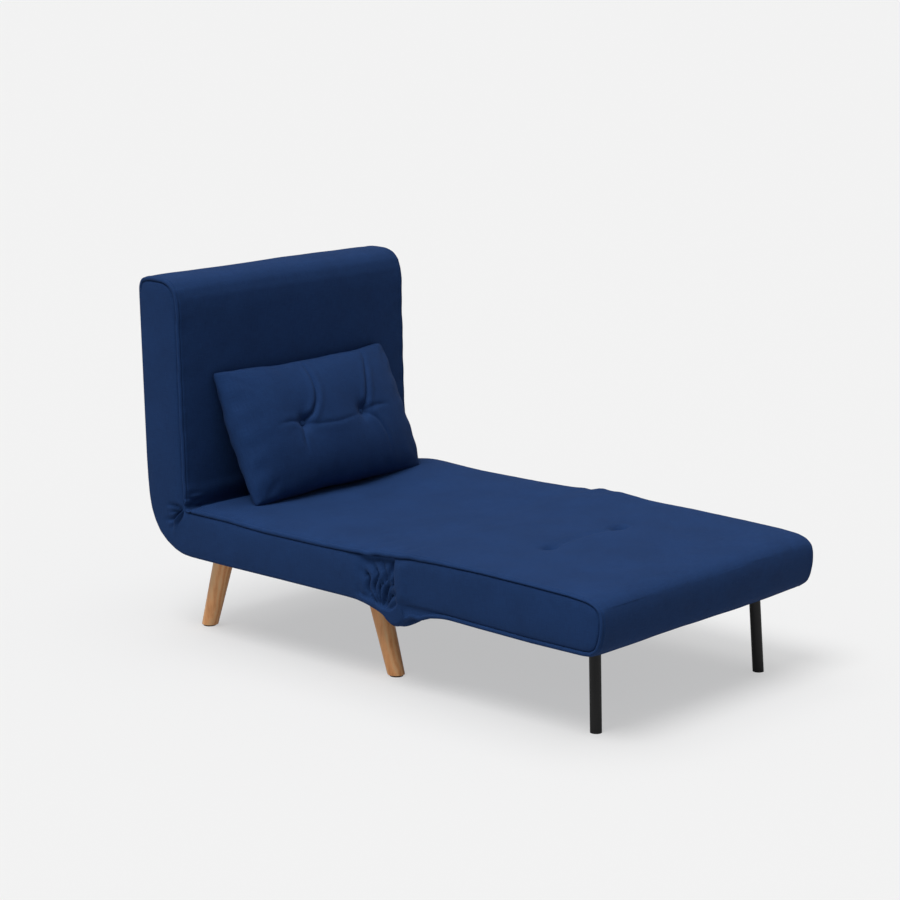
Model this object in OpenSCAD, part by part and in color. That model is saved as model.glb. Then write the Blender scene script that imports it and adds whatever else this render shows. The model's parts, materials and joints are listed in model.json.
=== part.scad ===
// Single-width futon sofa bed: a seat on four wooden legs, a foot section that folds over onto it
// and stands on two steel legs, a back that reclines flat, and a loose pillow.
// +X runs across the width, +Y from the foot end to the back, +Z up from the floor.

/* [Mattress] */
// Width of the seat, foot and back sections
width = 750; // [700:5:800]
// Thickness of the seat and foot sections
pad_t = 100; // [98:1:110]
// Thickness of the back section
back_t = 110; // [105:1:125]
// Height of both fold axes above the floor, level with the top of the seat
fold_z = 300; // [290:1:320]
// Length of the seat section, between the two fold axes
seat_len = 650; // [630:5:680]
// Length of the foot section
foot_len = 595; // [580:5:600]
// Length of the back section
back_len = 540; // [500:5:580]
// Backward lean of the upright back, in degrees
back_lean = 1.5; // [0.5:0.5:5]
// Corner rounding at the free end of a section
end_r = 20; // [10:1:30]

/* [Frame] */
// Width of the steel frame tube
tube_w = 25; // [20:1:25]
// Height of the steel frame tube
tube_h = 30; // [26:1:30]
// Wall of the steel frame tube
tube_wall = 1.5; // [1:0.1:2.5]
// Thickness of a wooden slat
slat_t = 8; // [6:0.5:8]
// Width of a wooden slat
slat_w = 60; // [50:5:65]
// Thickness of a hinge plate
plate_t = 4; // [3:0.5:4]
// Diameter of a hinge pin
pin_d = 8; // [6:0.5:8]

/* [Legs] */
// Distance of each leg from the centre line
leg_x = 275; // [250:5:285]
// Diameter of a wooden leg where it leaves the seat
leg_top_d = 50; // [44:1:52]
// Diameter of a wooden leg at the floor
leg_foot_d = 38; // [32:1:42]
// Fore-and-aft splay of the wooden legs, in degrees
leg_splay = 17.6; // [12:0.1:18]
// Distance of the front legs' tops behind the front fold axis
front_leg_set = 128; // [126:1:145]
// Distance of the rear legs' tops in front of the rear fold axis
rear_leg_set = 53; // [52:1:62]
// Outer diameter of the steel support legs
steel_leg_d = 25; // [22:0.5:25]
// Outer diameter of the tube that joins the support legs
cross_tube_d = 28; // [26:0.5:28]
// Distance of the support legs' pivot from the front fold axis
support_set = 502.5; // [495:0.5:505]
// Forward lean of the support legs, in degrees
support_lean = 3.5; // [2:0.1:5]
// Outward lean of the support legs, in degrees
support_spread = 2.2; // [1:0.1:2.5]
// Half the distance between the support legs at their pivot
support_x = 279; // [270:1:280]

/* [Pillow] */
// Width of the pillow
pillow_w = 565; // [540:5:600]
// Height of the pillow, along its slope
pillow_h = 335; // [320:1:340]
// Thickness of the pillow at its middle
pillow_t = 140; // [120:1:142]
// Slope of the leaning pillow above the horizontal, in degrees
pillow_tilt = 65.3; // [64:0.1:67]

/* [Hidden] */
$fn = 48;

navy = [0.10, 0.16, 0.28];
foam_white = [0.86, 0.85, 0.80];
steel_black = [0.06, 0.06, 0.065];
zinc = [0.62, 0.63, 0.64];
oak = [0.72, 0.50, 0.30];
birch = [0.80, 0.68, 0.50];
left = -1;
right = 1;

// The whole depth is centred on the origin.
depth = foot_len + seat_len + back_t * cos(back_lean) + back_len * sin(back_lean);
front_fold_y = foot_len - depth / 2;
rear_fold_y = front_fold_y + seat_len;

// Heights inside a section are measured down from its fold axis.
cover_t = 2;
fit_gap = 0.2;            // between a cover and the foam inside it
top_w = -3;               // top of a cover, so that two folded sections lie clear of each other
end_gap = 3;              // from a fold axis to the end of a section
foam_wall = 18;           // foam left round the frame pocket
tube_top = -48;
tube_mid = tube_top - tube_h / 2;
tube_low = tube_top - tube_h;
pocket_top = tube_top + slat_t;
board_top = tube_low - 1; // top of the pad that closes the pocket
rail_start = 32;          // from a fold axis to the end of a rail
rail_end_gap = 34;        // from a section's free end to its frame
slat_set = 92;            // from the end of a section to its first slat's middle

// Across the width: the seat's rail and hinge plate, then the moving section's plate.
plate_x = width / 2 - 34;
arm_x = plate_x + plate_t + 0.3;
seat_rail_x = plate_x - tube_w;
move_rail_x = arm_x - tube_w;
cover_room_r = 46;         // room for the hinge plates in the covers
foam_room_r = 64;          // and in the foam
hinge_room_x = [seat_rail_x - 4, width / 2 - 20];

// Slats, by the distance of each one's middle from the fold axis.
slat_half = plate_x - 2;
seat_slat_us = [for (i = [0:4]) slat_set + i * (seat_len - 2 * slat_set) / 4];
foot_slat_us = [for (i = [0:4]) slat_set + i * (foot_len - 2 * slat_set) / 4];
back_slat_us = [for (i = [0:3]) slat_set + i * (back_len - 2 * slat_set) / 3];

// Hinge plates.
knuckle_r = 10;
pin_gap = 0.05;
pin_head_r = 7;
pin_head_t = 3;
gusset_end = 104;
rivet_r = 3;
rivet_us = [62, 90];
tooth_r = 26;
tooth_depth = 4;
tooth_count = 8;
tooth_from = 176;
tooth_to = 242;
pawl_r = 6;
pawl_at = [34 * cos(-70), 34 * sin(-70)];

// Wooden legs: the top plane is under the leg plates.
leg_plate_t = 3;
leg_plate_r = 34;
leg_top_z = fold_z + tube_low - leg_plate_t;
leg_bolt_d = 8;
leg_bolt_len = 52;
glide_t = 4;
glide_r = 15;
legs = [
    [left, front_fold_y + front_leg_set, -1],
    [right, front_fold_y + front_leg_set, -1],
    [left, rear_fold_y - rear_leg_set, 1],
    [right, rear_fold_y - rear_leg_set, 1]
];

// Steel support legs.
support_z = fold_z + tube_mid;
support_wall = 1.5;
support_slot = [support_x - 17, support_x + 29];
support_slot_u = [support_set - support_z - 8, support_set + 26];
plug_h = 20;
bush_len = 22;
cross_tube_x = move_rail_x - 8;

// Pillow: two lenses crossed, leaning on the back.
pillow_edge = 12;         // half the thickness at the seam
pillow_foot = [rear_fold_y - 155, fold_z + 10];
button_r = 9;
pillow_button_x = 97;
foot_button_x = 120;
foot_button_u = 250;
button_t = 4;
button_sink = 8;
pillow_button_z = pillow_t / 2 - 22;

// ---------- shapes ----------

function arc(c, r, a0, a1) = [for (i = [0:6]) c + r * [cos(a0 + (a1 - a0) * i / 6), sin(a0 + (a1 - a0) * i / 6)]];

// Outline of a section along its length u and height w, with the free end rounded.
module section_outline(u0, u1, w0, w1, r)
    polygon(concat([[u0, w0]], arc([u1 - r, w0 + r], r, -90, 0), arc([u1 - r, w1 - r], r, 0, 90), [[u0, w1]]));

module across(half_width)
    rotate([90, 0, 90]) linear_extrude(height = 2 * half_width, center = true) children();

module plate(x0, t)
    translate([x0, 0, 0]) rotate([90, 0, 90]) linear_extrude(height = t) children();

module block(x, y, z)
    translate([x[0], y[0], z[0]]) cube([x[1] - x[0], y[1] - y[0], z[1] - z[0]]);

module rod(x0, x1, r)
    translate([x0, 0, 0]) rotate([0, 90, 0]) cylinder(r = r, h = x1 - x0);

// Puts a section, drawn flat with its fold axis at the origin, in its place.
module place_seat() translate([0, front_fold_y, fold_z]) children();
module place_seat_rear() translate([0, rear_fold_y, fold_z]) mirror([0, 1, 0]) children();
module place_foot() translate([0, front_fold_y, fold_z]) mirror([0, 1, 0]) children();
module place_back() translate([0, rear_fold_y, fold_z]) rotate([90 - back_lean, 0, 0]) children();
module side(s) mirror([s == left ? 1 : 0, 0, 0]) children();
module both_sides() for (s = [left, right]) side(s) children();

// ---------- mattress pieces ----------

module hinge_room(u, r)
    both_sides() translate([0, u, 0]) rod(hinge_room_x[0], hinge_room_x[1], r);

module frame_pocket(u0, u1, low)
    block([-hinge_room_x[1], hinge_room_x[1]], [u0, u1], [low, pocket_top]);

// Foam of a section with one free end, with a pocket for the frame that opens downwards.
module end_foam(len, t)
    color(foam_white) difference() {
        across(width / 2 - cover_t - fit_gap)
            section_outline(end_gap + cover_t, len - cover_t - fit_gap, cover_t + fit_gap - t,
                top_w - cover_t - fit_gap, end_r - cover_t);
        frame_pocket(foam_wall, len - rail_end_gap + 4, -t - 1);
        hinge_room(0, foam_room_r);
    }

module end_board(len, t)
    block([-hinge_room_x[1] + 1, hinge_room_x[1] - 1], [foam_wall + 1, len - rail_end_gap + 3],
        [cover_t + fit_gap - t, board_top]);

// Cover of a section with one free end: a sock, open at the fold.
module end_cover(len, t)
    difference() {
        across(width / 2) section_outline(end_gap, len, -t, top_w, end_r);
        across(width / 2 - cover_t)
            section_outline(0, len - cover_t, cover_t - t, top_w - cover_t, end_r - cover_t);
        hinge_room(0, cover_room_r);
    }

module slats(us)
    color(birch) for (u = us)
        block([-slat_half, slat_half], [u - slat_w / 2, u + slat_w / 2], [tube_top, pocket_top - 0.3]);

// ---------- frame pieces ----------

module tube_y(x0, y0, y1)
    color(steel_black) difference() {
        block([x0, x0 + tube_w], [y0, y1], [tube_low, tube_top]);
        block([x0 + tube_wall, x0 + tube_w - tube_wall], [y0 - 1, y1 + 1], [tube_low + tube_wall, tube_top - tube_wall]);
    }

module tube_x(half, u)
    color(steel_black) difference() {
        block([-half, half], [u - tube_w / 2, u + tube_w / 2], [tube_low, tube_top]);
        block([-half - 1, half + 1], [u - tube_w / 2 + tube_wall, u + tube_w / 2 - tube_wall],
            [tube_low + tube_wall, tube_top - tube_wall]);
    }

// Gusset from the fold axis to the rail; inner_edge is its lowest point next to the axis.
module gusset_outline(inner_edge)
    polygon([[-9, -2], [9, 2], [32, tube_top + 2], [gusset_end, tube_top + 2],
        [gusset_end, tube_low], [34, tube_low], inner_edge]);

// Ratchet teeth on the side away from the gusset.
module teeth_outline()
    polygon(concat([[0, 0]], [for (i = [0:2 * tooth_count])
        let (a = tooth_from + (tooth_to - tooth_from) * i / (2 * tooth_count), r = tooth_r - tooth_depth * (i % 2))
        [r * cos(a), r * sin(a)]]));

module rivet_holes(x0)
    for (u = rivet_us)
        translate([0, u, tube_mid]) rod(x0 - 1, x0 + plate_t + 1, rivet_r);

module hinge_plate()
    color(zinc) difference() {
        union() {
            rod(plate_x, plate_x + plate_t, knuckle_r);
            plate(plate_x, plate_t) gusset_outline([4, -34]);
            plate(plate_x, plate_t) teeth_outline();
        }
        rod(plate_x - 1, plate_x + plate_t + 1, pin_d / 2);
        rivet_holes(plate_x);
    }

module hinge_arm()
    color(zinc) difference() {
        union() {
            rod(arm_x, arm_x + plate_t, knuckle_r);
            plate(arm_x, plate_t) gusset_outline([-2, -38]);
        }
        rod(arm_x - 1, arm_x + plate_t + 1, pin_d / 2 + pin_gap);
        translate([0, pawl_at[0], pawl_at[1]]) rod(arm_x - 1, arm_x + plate_t + 1, rivet_r);
        rivet_holes(arm_x);
    }

module hinge_pin()
    color(zinc) union() {
        rod(plate_x - pin_head_t, arm_x + plate_t + 0.3 + pin_head_t, pin_d / 2);
        rod(plate_x - pin_head_t, plate_x, pin_head_r);
        rod(arm_x + plate_t + 0.3, arm_x + plate_t + 0.3 + pin_head_t, pin_head_r);
    }

// Pawl between the arm and the plate's teeth, with its own rivet through the arm.
module pawl()
    color(steel_black) translate([0, pawl_at[0], pawl_at[1]]) union() {
        rod(plate_x + 0.5, arm_x, pawl_r);
        rod(arm_x - 1, arm_x + plate_t + 1.5, rivet_r);
    }

module rivets(x0)
    color(zinc) for (u = rivet_us)
        translate([0, u, tube_mid]) union() {
            rod(x0 - tube_wall, x0 + plate_t, rivet_r);
            rod(x0 + plate_t, x0 + plate_t + 2, rivet_r + 2);
        }

module riveted_tube(x0, y0, y1)
    difference() {
        tube_y(x0, y0, y1);
        children();
    }

module outer_rivet_holes()
    for (u = rivet_us)
        translate([0, u, tube_mid]) rod(seat_rail_x + tube_w - tube_wall - 1, arm_x + 1, rivet_r);

// ---------- seat ----------

module seat_rail(s)
    place_seat() side(s) riveted_tube(seat_rail_x, rail_start, seat_len - rail_start) {
        outer_rivet_holes();
        translate([0, seat_len, 0]) mirror([0, 1, 0]) outer_rivet_holes();
    }

module seat_rail_left() seat_rail(left);
module seat_rail_right() seat_rail(right);
module seat_cross_front() place_seat() tube_x(seat_rail_x, rail_start + tube_w / 2);

module leg_axis(leg) {
    // Origin at the leg's top centre, its own -Z along the leg
    translate([leg[0] * leg_x, leg[1], leg_top_z]) rotate([leg[2] * leg_splay, 0, 0]) children();
}

module drilled_cross(i)
    color(steel_black) difference() {
        place_seat() tube_x(seat_rail_x, legs[i][1] - front_fold_y);
        for (leg = [legs[i], legs[i + 1]])
            leg_axis(leg) translate([0, 0, -1]) cylinder(d = leg_bolt_d, h = leg_plate_t + 4);
    }

module seat_cross_middle() drilled_cross(0);
module seat_cross_rear() drilled_cross(2);

module seat_slats() place_seat() slats(seat_slat_us);

module seat_foam()
    color(foam_white) place_seat() difference() {
        block([-width / 2 + cover_t + fit_gap, width / 2 - cover_t - fit_gap],
            [end_gap + cover_t, seat_len - end_gap - cover_t],
            [cover_t + fit_gap - pad_t, top_w - cover_t - fit_gap]);
        frame_pocket(foam_wall, seat_len - foam_wall, -pad_t - 1);
        hinge_room(0, foam_room_r);
        hinge_room(seat_len, foam_room_r);
    }

module leg_openings(r)
    for (leg = legs)
        leg_axis(leg) translate([0, 0, -60]) cylinder(r = r, h = 110);

module seat_under_pad()
    color(foam_white) difference() {
        place_seat() block([-hinge_room_x[1] + 1, hinge_room_x[1] - 1],
            [foam_wall + 1, seat_len - foam_wall - 1], [cover_t + fit_gap - pad_t, board_top]);
        leg_openings(leg_plate_r + 8);
    }

module seat_cover()
    color(navy) difference() {
        place_seat() block([-width / 2, width / 2], [end_gap, seat_len - end_gap], [-pad_t, top_w]);
        place_seat() block([-width / 2 + cover_t, width / 2 - cover_t], [0, seat_len],
            [cover_t - pad_t, top_w - cover_t]);
        place_seat() hinge_room(0, cover_room_r);
        place_seat() hinge_room(seat_len, cover_room_r);
        leg_openings(leg_top_d / 2 + 2);
    }

// Turned leg, tapering to the floor and cut level at both ends.
module wooden_leg(i) {
    length = leg_top_z / cos(leg_splay);
    taper = (leg_top_d - leg_foot_d) / 2 / length;
    spare = 12;
    color(oak) difference() {
        leg_axis(legs[i]) translate([0, 0, -length - spare])
            cylinder(r1 = leg_foot_d / 2 - taper * spare, r2 = leg_top_d / 2 + taper * spare, h = length + 2 * spare);
        block([-width, width], [-depth, depth], [-100, glide_t]);
        block([-width, width], [-depth, depth], [leg_top_z, fold_z]);
        leg_axis(legs[i]) translate([0, 0, leg_plate_t - leg_bolt_len]) cylinder(d = leg_bolt_d, h = leg_bolt_len);
    }
}

module wooden_leg_front_left() wooden_leg(0);
module wooden_leg_front_right() wooden_leg(1);
module wooden_leg_rear_left() wooden_leg(2);
module wooden_leg_rear_right() wooden_leg(3);

module leg_glides()
    color(steel_black) for (leg = legs)
        translate([leg[0] * leg_x, leg[1] + leg[2] * tan(leg_splay) * leg_top_z, 0])
            cylinder(r = glide_r, h = glide_t);

module leg_plates()
    color(zinc) difference() {
        for (leg = legs)
            translate([leg[0] * leg_x, leg[1], leg_top_z]) cylinder(r = leg_plate_r, h = leg_plate_t);
        for (leg = legs)
            leg_axis(leg) translate([0, 0, -10]) cylinder(d = leg_bolt_d, h = 20);
    }

module leg_bolts()
    color(zinc) for (leg = legs)
        leg_axis(leg) translate([0, 0, leg_plate_t - leg_bolt_len]) cylinder(d = leg_bolt_d, h = leg_bolt_len);

module front_hinge_plate_left() place_seat() side(left) hinge_plate();
module front_hinge_plate_right() place_seat() side(right) hinge_plate();
module rear_hinge_plate_left() place_seat_rear() side(left) hinge_plate();
module rear_hinge_plate_right() place_seat_rear() side(right) hinge_plate();
module front_hinge_pins() place_seat() both_sides() hinge_pin();
module rear_hinge_pins() place_seat_rear() both_sides() hinge_pin();

module seat_rivets() {
    place_seat() both_sides() rivets(plate_x);
    place_seat_rear() both_sides() rivets(plate_x);
}

// ---------- foot section ----------

module foot_rail(s)
    place_foot() side(s) riveted_tube(move_rail_x, rail_start, foot_len - rail_end_gap) {
        outer_rivet_holes();
        translate([0, support_set, tube_mid]) rod(0, width, pin_d / 2);
    }

module foot_rail_left() foot_rail(left);
module foot_rail_right() foot_rail(right);
module foot_cross_inner() place_foot() tube_x(move_rail_x, rail_start + tube_w / 2);
module foot_cross_middle() place_foot() tube_x(move_rail_x, support_set - support_z - 30);
module foot_cross_end() place_foot() tube_x(move_rail_x, foot_len - rail_end_gap - tube_w / 2);

module foot_slats() place_foot() slats(foot_slat_us);

module button_pit(x, u)
    translate([x, u, top_w - button_sink]) cylinder(r = button_r + 0.5, h = 30);

module foot_foam()
    place_foot() difference() {
        end_foam(foot_len, pad_t);
        both_sides() button_pit(foot_button_x, foot_button_u);
    }

module support_slots()
    both_sides() block(support_slot, support_slot_u, [-pad_t - 1, pocket_top - 1]);

module foot_under_pad()
    color(foam_white) place_foot() difference() {
        end_board(foot_len, pad_t);
        support_slots();
    }

module foot_cover()
    color(navy) place_foot() difference() {
        end_cover(foot_len, pad_t);
        support_slots();
        both_sides() button_pit(foot_button_x, foot_button_u);
    }

module foot_tuft_buttons()
    color(navy) place_foot() both_sides()
        translate([foot_button_x, foot_button_u, top_w - button_sink]) cylinder(r = button_r, h = button_t);

module front_hinge_arm_left() place_foot() side(left) hinge_arm();
module front_hinge_arm_right() place_foot() side(right) hinge_arm();
module front_pawls() place_foot() both_sides() pawl();
module foot_rivets() place_foot() both_sides() rivets(arm_x);

// Bolt through the foot rail into the bush of the support leg.
module support_pivot_bolts()
    color(zinc) place_foot() both_sides() translate([0, support_set, tube_mid]) union() {
        rod(cross_tube_x - bush_len + 2, arm_x, pin_d / 2);
        rod(arm_x, arm_x + 5, pin_d / 2 + 3);
    }

// ---------- back section ----------

module back_rail(s)
    place_back() side(s) riveted_tube(move_rail_x, rail_start, back_len - rail_end_gap) outer_rivet_holes();

module back_rail_left() back_rail(left);
module back_rail_right() back_rail(right);
module back_cross_lower() place_back() tube_x(move_rail_x, rail_start + tube_w / 2);
module back_cross_middle() place_back() tube_x(move_rail_x, back_len / 2);
module back_cross_upper() place_back() tube_x(move_rail_x, back_len - rail_end_gap - tube_w / 2);

module back_slats() place_back() slats(back_slat_us);
module back_foam() place_back() end_foam(back_len, back_t);
module back_rear_pad() color(foam_white) place_back() end_board(back_len, back_t);
module back_cover() color(navy) place_back() end_cover(back_len, back_t);
module rear_hinge_arm_left() place_back() side(left) hinge_arm();
module rear_hinge_arm_right() place_back() side(right) hinge_arm();
module rear_pawls() place_back() both_sides() pawl();
module back_rivets() place_back() both_sides() rivets(arm_x);

// ---------- support leg ----------

module support_axis(s)
    translate([s * support_x, front_fold_y - support_set, support_z])
        rotate([-support_lean, -s * support_spread, 0]) children();

module support_cross_tube()
    color(steel_black) translate([0, front_fold_y - support_set, support_z]) difference() {
        rod(-cross_tube_x, cross_tube_x, cross_tube_d / 2);
        rod(-cross_tube_x - 1, cross_tube_x + 1, cross_tube_d / 2 - support_wall);
    }

module support_leg(s)
    color(steel_black) difference() {
        support_axis(s) translate([0, 0, -support_z - 5]) difference() {
            cylinder(d = steel_leg_d, h = support_z + 5);
            translate([0, 0, -1]) cylinder(d = steel_leg_d - 2 * support_wall, h = support_z + 7);
        }
        translate([0, front_fold_y - support_set, support_z]) rod(-width, width, cross_tube_d / 2);
        block([-width, width], [-depth, depth], [-100, glide_t]);
    }

module support_leg_left() support_leg(left);
module support_leg_right() support_leg(right);

// Plug in the end of each support leg, standing on the floor.
module support_leg_caps()
    color(steel_black) for (s = [left, right])
        difference() {
            support_axis(s) translate([0, 0, -support_z - 5]) union() {
                cylinder(d = steel_leg_d - 2 * support_wall - 2 * pin_gap, h = plug_h + 5);
                cylinder(d = steel_leg_d, h = glide_t + 12);
            }
            difference() {
                support_axis(s) translate([0, 0, -support_z - 6]) cylinder(d = 2 * steel_leg_d, h = plug_h);
                support_axis(s) translate([0, 0, -support_z - 6])
                    cylinder(d = steel_leg_d - 2 * support_wall - 2 * pin_gap, h = plug_h);
                block([-width, width], [-depth, depth], [-100, glide_t]);
            }
            block([-width, width], [-depth, depth], [-100, 0]);
        }

module support_bushes()
    color(steel_black) translate([0, front_fold_y - support_set, support_z]) both_sides() difference() {
        rod(cross_tube_x - bush_len, cross_tube_x, cross_tube_d / 2 - support_wall);
        rod(cross_tube_x - bush_len - 1, cross_tube_x + 1, pin_d / 2 + pin_gap);
    }

// ---------- pillow ----------

// Centre of the pillow at the origin: X its width, Y its height, Z its thickness towards the sitter.
module place_pillow()
    translate([0, pillow_foot[0], pillow_foot[1]]) rotate([pillow_tilt, 0, 0]) translate([0, pillow_h / 2, 0])
        children();

function lens_r(half) = (pow(half, 2) + pow(pillow_t / 2 - pillow_edge, 2)) / (pillow_t - 2 * pillow_edge);

module lens(half, turn) {
    r = lens_r(half);
    rotate([0, 0, turn]) intersection() {
        translate([0, 0, pillow_t / 2 - r]) rotate([90, 0, 0]) cylinder(r = r, h = 2 * pillow_w, center = true, $fn = 128);
        translate([0, 0, r - pillow_t / 2]) rotate([90, 0, 0]) cylinder(r = r, h = 2 * pillow_w, center = true, $fn = 128);
    }
}

module pillow()
    color(navy) place_pillow() difference() {
        intersection() {
            block([-pillow_w / 2, pillow_w / 2], [-pillow_h / 2, pillow_h / 2], [-pillow_t, pillow_t]);
            lens(pillow_w / 2, 0);
            lens(pillow_h / 2, 90);
        }
        both_sides() translate([pillow_button_x, 0, pillow_button_z]) cylinder(r = button_r + 0.5, h = pillow_t);
    }

module pillow_buttons()
    color(navy) place_pillow() both_sides()
        translate([pillow_button_x, 0, pillow_button_z]) cylinder(r = button_r, h = button_t);

seat_rail_left();
seat_rail_right();
seat_cross_front();
seat_cross_middle();
seat_cross_rear();
seat_slats();
seat_foam();
seat_under_pad();
seat_cover();
wooden_leg_front_left();
wooden_leg_front_right();
wooden_leg_rear_left();
wooden_leg_rear_right();
leg_glides();
leg_plates();
leg_bolts();
front_hinge_plate_left();
front_hinge_plate_right();
rear_hinge_plate_left();
rear_hinge_plate_right();
front_hinge_pins();
rear_hinge_pins();
seat_rivets();
foot_rail_left();
foot_rail_right();
foot_cross_inner();
foot_cross_middle();
foot_cross_end();
foot_slats();
foot_foam();
foot_under_pad();
foot_cover();
foot_tuft_buttons();
front_hinge_arm_left();
front_hinge_arm_right();
front_pawls();
foot_rivets();
support_pivot_bolts();
back_rail_left();
back_rail_right();
back_cross_lower();
back_cross_middle();
back_cross_upper();
back_slats();
back_foam();
back_rear_pad();
back_cover();
rear_hinge_arm_left();
rear_hinge_arm_right();
rear_pawls();
back_rivets();
support_cross_tube();
support_leg_left();
support_leg_right();
support_leg_caps();
support_bushes();
pillow();
pillow_buttons();
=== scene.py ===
"""Looks of the futon sofa bed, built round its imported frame: two fabric covers shaped round the hinges,
a stuffed pillow, and materials for the wooden and steel pieces that stay from the CAD."""

import json
import math

import bmesh
import bpy
import numpy as np
from mathutils import Matrix, Vector


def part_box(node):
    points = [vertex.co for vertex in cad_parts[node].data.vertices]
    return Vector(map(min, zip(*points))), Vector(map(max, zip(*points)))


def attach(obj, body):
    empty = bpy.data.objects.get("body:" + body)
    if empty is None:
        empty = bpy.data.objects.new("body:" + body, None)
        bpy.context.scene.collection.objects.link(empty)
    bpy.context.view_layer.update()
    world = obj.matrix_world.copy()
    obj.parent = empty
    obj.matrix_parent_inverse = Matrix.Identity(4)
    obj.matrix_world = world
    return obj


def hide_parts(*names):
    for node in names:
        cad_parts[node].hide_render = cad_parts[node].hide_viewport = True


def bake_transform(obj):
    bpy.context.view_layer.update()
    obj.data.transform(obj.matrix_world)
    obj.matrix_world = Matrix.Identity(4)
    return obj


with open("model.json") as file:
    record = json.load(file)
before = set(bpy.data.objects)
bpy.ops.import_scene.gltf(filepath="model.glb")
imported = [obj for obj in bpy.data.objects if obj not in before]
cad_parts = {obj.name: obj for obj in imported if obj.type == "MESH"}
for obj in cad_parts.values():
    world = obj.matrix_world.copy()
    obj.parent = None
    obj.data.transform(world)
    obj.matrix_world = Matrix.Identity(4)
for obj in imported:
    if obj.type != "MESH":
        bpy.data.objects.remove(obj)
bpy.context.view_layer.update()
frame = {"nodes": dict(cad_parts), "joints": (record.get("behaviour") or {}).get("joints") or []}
nodes = frame["nodes"]
joints = {j["name"]: j for j in frame["joints"]}
# The fold axes of the foot section and of the back, as (y, z) in m.
FRONT = np.array(joints["foot_fold"]["pos_m"][1:])
REAR = np.array(joints["back_recline"]["pos_m"][1:])
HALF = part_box("seat_cover")[1].x
MM = 0.001
SPLIT = (REAR[0] - FRONT[0]) / 2  # the two covers meet in the middle of the seat

# ---------- curves ----------


def step(x, low, high):
    """0 below low, 1 above high, and smooth between them."""
    t = np.clip((np.asarray(x, float) - low) / (high - low), 0, 1)
    return t * t * (3 - 2 * t)


def bump(x, middle, width):
    return np.exp(-(((np.asarray(x, float) - middle) / width) ** 2))


def smooth_line(points, sigma, spacing=0.5):
    """A line through the points with its corners rounded, as points spaced evenly along it."""
    points = np.array(points, float)
    along = np.r_[0, np.cumsum(np.linalg.norm(np.diff(points, axis=0), axis=1))]
    at = np.linspace(0, along[-1], int(along[-1] / spacing) + 1)
    line = np.c_[np.interp(at, along, points[:, 0]), np.interp(at, along, points[:, 1])]
    reach = int(4 * sigma / spacing)
    padded = np.r_[2 * line[0] - line[reach:0:-1], line, 2 * line[-1] - line[-2 : -reach - 2 : -1]]
    kernel = np.exp(-((np.arange(-reach, reach + 1) * spacing / sigma) ** 2) / 2)
    kernel /= kernel.sum()
    return np.c_[[np.convolve(padded[:, k], kernel, "valid") for k in (0, 1)]].T


def lengths(line):
    return np.r_[0, np.cumsum(np.linalg.norm(np.diff(line, axis=0), axis=1))]


def nearest(line, point):
    return int(np.argmin(np.linalg.norm(line - np.array(point, float), axis=1)))


def along_line(line, at):
    far = lengths(line)
    return np.c_[np.interp(at, far, line[:, 0]), np.interp(at, far, line[:, 1])]


def wave(*terms):
    """A smooth irregular wave between about -1 and 1: a sum of sines that never repeat together."""
    total = sum(np.sin(a + i * 1.7) for i, a in enumerate(terms))
    return total / len(terms)


def mottle(p, size):
    """Gentle unevenness in three directions, about -1 to 1, with lumps of about that size in mm."""
    x, y, z = (p / size).T
    return wave(
        1.1 * x + 1.9 * np.sin(0.7 * y + 0.3 * z),
        1.3 * y + 1.7 * np.sin(0.9 * z - 0.6 * x),
        1.2 * z - 1.4 * np.sin(0.8 * x + 0.5 * y),
        0.9 * (x + y) + 1.3 * np.sin(1.1 * z - 0.4 * y),
    )


# ---------- pieces ----------


def make_piece(name, verts, faces):
    """A new mesh object, linked to the scene."""
    mesh = bpy.data.meshes.new(name)
    mesh.from_pydata(verts, [], faces)
    piece = bpy.data.objects.new(name, mesh)
    bpy.context.scene.collection.objects.link(piece)
    return piece


def read_points(mesh):
    co = np.zeros(len(mesh.vertices) * 3)
    mesh.vertices.foreach_get("co", co)
    return co.reshape(-1, 3)


def lay_flat(mesh, flat):
    """Gives the mesh the cloth's UVs, in metres. flat has a row for each vertex."""
    layer = mesh.uv_layers.new(name="cloth")
    loops = np.zeros(len(mesh.loops), int)
    mesh.loops.foreach_get("vertex_index", loops)
    layer.data.foreach_set("uv", flat[loops].ravel())


def quads(index):
    """The faces of a grid, whose points are numbered by the array index."""
    a, b, c, d = index[:-1, :-1], index[1:, :-1], index[1:, 1:], index[:-1, 1:]
    return np.dstack([a, d, c, b]).reshape(-1, 4)


def ring_faces(first, rings, sides):
    """The faces between closed rings of points, which are numbered one after another from first."""
    faces = []
    for start in range(first, first + (rings - 1) * sides, sides):
        for k in range(sides):
            a, b = start + k, start + (k + 1) % sides
            faces.append((a, a + sides, b + sides, b))
    return faces


# ---------- covers ----------
# A cover is a sleeve: one strip of cloth goes along the top, round the free end and back underneath, and a
# panel closes each side. The strip's outline lies in the plane of a side, in mm: u along the section from
# its fold axis to the free end, w up from the axis. Where a panel is sewn in, the strip's edge stands over
# it as a topstitched welt with a dark slit below; elsewhere the strip just rounds into the panel.

HALF_MM = HALF / MM
MIDDLE = -SPLIT / MM  # u of the open end, where the two covers meet, in both of them
TOP, END, UNDER = range(3)  # the parts of a strip

# Where a rung of a side panel has its points, in hundredths of its length: close together at the seams.
INSETS = [0, 0.7, 1.4, 2.2, 3.2, 4.6, 6.6, 9.4, 13, 17.5, 23, 29, 36, 43]
ROWS = np.array(INSETS + [50] + [100 - q for q in reversed(INSETS)]) / 100
END_STEP = 1.4  # between the rungs near the free end
END_CROWDING = 1.35
END_REACH = 90  # the rungs bow with the free end over this length

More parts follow.
